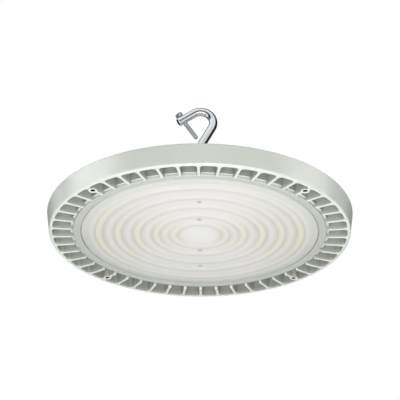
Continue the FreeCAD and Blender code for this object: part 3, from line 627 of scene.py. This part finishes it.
# lens frame: snap-in ring with a rolled outer edge and two fine grooves
rows = [(136.0, 4.2), (136.0, 2.75), (136.08, 2.35), (136.3, 2.05), (136.65, 1.86), (137.1, 1.8), (138.7, 1.8), (138.9, 2.02), (139.3, 2.02), (139.5, 1.8),
        (142.2, 1.8), (143.0, 1.86), (143.8, 2.08), (144.4, 2.45), (144.78, 2.95), (144.9, 3.5), (144.9, 4.2), (142.6, 4.2), (142.6, 5.9), (143.2, 6.3), (143.2, 6.6),
        (142.2, 8.2), (140.4, 8.2), (140.4, 4.2)]
ringm = lathe("lens_retaining_ring", rows, 288, mat_frame, 30)
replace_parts(ringm, "lens_frame")

# LED packages: moulded white cup with a domed phosphor fill
N_RING = [30, 50, 72, 94, 116]
BZ = 11.9


def quad_loop(w, l, z, r=0.0):
    if not r:
        return [(w / 2, l / 2, z), (-w / 2, l / 2, z), (-w / 2, -l / 2, z), (w / 2, -l / 2, z)]
    pts = []
    for cx, cy, a0 in ((w / 2 - r, l / 2 - r, 0), (-w / 2 + r, l / 2 - r, 90), (-w / 2 + r, -l / 2 + r, 180), (w / 2 - r, -l / 2 + r, 270)):
        for k in range(4):
            a = math.radians(a0 + 30 * k)
            pts.append((cx + r * math.cos(a), cy + r * math.sin(a), z))
    return pts


def loft(loops, cap0=True, cap1=True):
    verts = [p for lp in loops for p in lp]
    m = len(loops[0])
    faces = []
    for j in range(len(loops) - 1):
        for i in range(m):
            faces.append([j * m + i, j * m + (i + 1) % m, (j + 1) * m + (i + 1) % m, (j + 1) * m + i])
    if cap0:
        faces.append(list(range(m)))
    if cap1:
        faces.append([(len(loops) - 1) * m + i for i in range(m)])
    return verts, faces


cup = loft([quad_loop(2.8, 3.5, BZ, 0.12), quad_loop(2.8, 3.5, BZ - 0.6, 0.12), quad_loop(2.68, 3.38, BZ - 0.7, 0.12), quad_loop(2.46, 3.06, BZ - 0.7, 0.5), quad_loop(2.3, 2.9, BZ - 0.5, 0.5)])
glow = loft([quad_loop(2.36, 2.96, BZ - 0.52, 0.5), quad_loop(2.36, 2.96, BZ - 0.6, 0.5), quad_loop(1.9, 2.5, BZ - 0.655, 0.5), quad_loop(1.1, 1.6, BZ - 0.68, 0.4)])
cups, glows = [], []
for r, cnt in zip(LED_RING_R, N_RING):
    for i in range(cnt):
        a = math.radians((i + 0.5) * 360.0 / cnt + 90)
        c, sn = math.cos(a), math.sin(a)
        for src, dst in ((cup, cups), (glow, glows)):
            dst.append(([((r + x) * c * MM - y * sn * MM, (r + x) * sn * MM + y * c * MM, z * MM) for x, y, z in src[0]], src[1]))
v, f = merged(cups)
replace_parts(add_mesh("led_cups", v, f, mat_board_white, 30), "led_packages")
v, f = merged(glows)
add_mesh("led_phosphor", v, f, mat_led, 40)

# ------------------------------------------------------------------ stage and light
world = bpy.data.worlds.new("studio")
scene.world = world
world.use_nodes = True
wn = world.node_tree
wn.nodes.clear()
wo = wn.nodes.new("ShaderNodeOutputWorld")
bg_cam = wn.nodes.new("ShaderNodeBackground")
bg_cam.inputs[0].default_value = (1, 1, 1, 1)
bg_cam.inputs[1].default_value = 1.0
bg_light = wn.nodes.new("ShaderNodeBackground")
bg_light.inputs[1].default_value = 1.0
geo = wn.nodes.new("ShaderNodeTexCoord")
sep = wn.nodes.new("ShaderNodeSeparateXYZ")
wn.links.new(geo.outputs["Generated"], sep.inputs[0])
wr = wn.nodes.new("ShaderNodeValToRGB")
el = wr.color_ramp.elements
el[0].position, el[0].color = 0.0, (0.265, 0.265, 0.265, 1)
el[1].position, el[1].color = 1.0, (0.05, 0.05, 0.05, 1)
for pos, v in ((0.42, 0.265), (0.55, 0.135), (0.68, 0.06)):
    e = el.new(pos)
    e.color = (v, v, v, 1)
half = wn.nodes.new("ShaderNodeMapRange")
half.inputs["From Min"].default_value = -1.0
half.inputs["From Max"].default_value = 1.0
wn.links.new(sep.outputs["Y"], half.inputs["Value"])
wn.links.new(half.outputs[0], wr.inputs[0])
wn.links.new(wr.outputs[0], bg_light.inputs[0])


def wmath(op, a, b):
    n = wn.nodes.new("ShaderNodeMath")
    n.operation = op
    for k, v in enumerate((a, b)):
        if isinstance(v, (int, float)):
            n.inputs[k].default_value = v
        else:
            wn.links.new(v, n.inputs[k])
    return n.outputs[0]


def wramp(fac, stops):
    r = wn.nodes.new("ShaderNodeValToRGB")
    e = r.color_ramp.elements
    while len(e) < len(stops):
        e.new(0.5)
    for x, (pos, v) in zip(e, stops):
        x.position = pos
        x.color = (v * 0.97, v, min(1.0, v * 1.03), 1)
    wn.links.new(fac, r.inputs[0])
    return r.outputs[0]


# what bright metal mirrors: pale in front and to the left, dark cards to the right and behind, a bright top
bearing = wmath("ADD", wmath("DIVIDE", wmath("ARCTAN2", sep.outputs["X"], wmath("MULTIPLY", sep.outputs["Y"], -1.0)), 2 * math.pi), 0.5)
ring = wramp(bearing, [(0.0, 0.03), (0.11, 0.04), (0.17, 0.30), (0.23, 0.90), (0.42, 0.92), (0.50, 0.78), (0.62, 0.92), (0.665, 0.45), (0.70, 0.01), (0.90, 0.01), (0.945, 0.14), (1.0, 0.03)])
height = wmath("ADD", wmath("MULTIPLY", sep.outputs["Z"], 0.5), 0.5)
below = wramp(bearing, [(0.0, 0.42), (0.14, 0.42), (0.25, 0.85), (0.75, 0.85), (0.86, 0.42), (1.0, 0.42)])
horizon = wramp(height, [(0.0, 0.0), (0.40, 0.0), (0.45, 1.0), (1.0, 1.0)])
sky = wn.nodes.new("ShaderNodeMix")
sky.data_type = "RGBA"
wn.links.new(horizon, sky.inputs[0])
wn.links.new(below, sky.inputs[6])
wn.links.new(ring, sky.inputs[7])
belt = wramp(height, [(0.0, 1.0), (0.37, 1.0), (0.44, 0.03), (0.60, 0.04), (0.67, 1.0), (1.0, 1.0)])
mul = wn.nodes.new("ShaderNodeMix")
mul.data_type = "RGBA"
mul.blend_type = "MULTIPLY"
mul.inputs[0].default_value = 1.0
wn.links.new(sky.outputs[2], mul.inputs[6])
front = wramp(bearing, [(0.0, 1.0), (0.56, 1.0), (0.61, 0.0), (1.0, 0.0)])
open_side = wn.nodes.new("ShaderNodeMix")
open_side.data_type = "RGBA"
wn.links.new(front, open_side.inputs[0])
open_side.inputs[6].default_value = (1, 1, 1, 1)
wn.links.new(belt, open_side.inputs[7])
wn.links.new(open_side.outputs[2], mul.inputs[7])
bg_gloss = wn.nodes.new("ShaderNodeBackground")
wn.links.new(mul.outputs[2], bg_gloss.inputs[0])
lp = wn.nodes.new("ShaderNodeLightPath")
mix = wn.nodes.new("ShaderNodeMixShader")
mixg = wn.nodes.new("ShaderNodeMixShader")
wn.links.new(lp.outputs["Is Glossy Ray"], mixg.inputs[0])
wn.links.new(bg_light.outputs[0], mixg.inputs[1])
wn.links.new(bg_gloss.outputs[0], mixg.inputs[2])
wn.links.new(lp.outputs["Is Camera Ray"], mix.inputs[0])
wn.links.new(mixg.outputs[0], mix.inputs[1])
wn.links.new(bg_cam.outputs[0], mix.inputs[2])
wn.links.new(mix.outputs[0], wo.inputs[0])


def softbox(name, loc, aim, w, h, power):
    d = bpy.data.lights.new(name, "AREA")
    d.shape = "RECTANGLE"
    d.size, d.size_y = w, h
    d.energy = power
    o = bpy.data.objects.new(name, d)
    scene.collection.objects.link(o)
    o.location = loc
    o.rotation_euler = (Vector(aim) - Vector(loc)).to_track_quat("-Z", "Y").to_euler()
    o.visible_camera = False
    return o


def around(az, r, z):
    return (r * math.sin(math.radians(az)), -r * math.cos(math.radians(az)), z)


# two wide strips with two short ones behind them give the soft gleams along the outer band
strips = [
    softbox("strip_left", around(-80, 1.6, 0.45), (0, 0, 0), 1.2, 0.35, 13.6),
    softbox("strip_right", around(80, 1.6, 0.45), (0, 0, 0), 1.2, 0.35, 10.8),
    softbox("strip_left_rear", around(-120, 1.6, 0.45), (0, 0, 0), 0.6, 0.35, 2.2),
    softbox("strip_right_rear", around(120, 1.6, 0.45), (0, 0, 0), 0.6, 0.35, 1.4),
]
plated = bpy.data.collections.new("plated_steel")
for o in (hook_mesh, lock):
    plated.objects.link(o)
for member in plated.collection_objects:
    member.light_linking.link_state = "EXCLUDE"
for o in strips:
    o.visible_diffuse = False
    o.light_linking.receiver_collection = plated
softbox("side_left", around(-55, 1.6, 0.2), (0, 0, 0), 0.6, 0.6, 0.8).visible_glossy = False
softbox("side_right", around(55, 1.6, 0.2), (0, 0, 0), 0.6, 0.6, 1.1).visible_glossy = False
softbox("soft_under", (0.0, -0.62, -0.62), (0, -0.06, 0.0), 0.9, 0.5, 7.25)
softbox("soft_top", (-0.12, -0.08, 1.5), (0, 0, 0.05), 1.2, 1.0, 13).visible_glossy = False
softbox("soft_back", (-0.3, 1.15, 1.6), (0, 0, 0.05), 1.4, 1.0, 20).visible_glossy = False
softbox("soft_back_low", (0.1, 1.9, 0.35), (0, 0, 0.03), 1.2, 0.8, 14).visible_glossy = False

me = bpy.data.meshes.new("floor")
s = 4.0
me.from_pydata([(-s, -s, -1.6), (s, -s, -1.6), (s, s, -1.6), (-s, s, -1.6)], [], [(0, 1, 2, 3)])
floor = bpy.data.objects.new("floor", me)
scene.collection.objects.link(floor)
F = Mat("floor_white")
F.colour(F.ramp(F.noise(3.0), [(0.3, (0.30, 0.30, 0.30)), (0.7, (0.32, 0.32, 0.32))]))
F.set(Roughness=0.8, Emission_Color=(1.0, 1.0, 1.0, 1.0), Emission_Strength=0.70)
me.materials.append(F.m)
floor.visible_glossy = False

scene.view_settings.view_transform = "Standard"
scene.view_settings.look = "None"
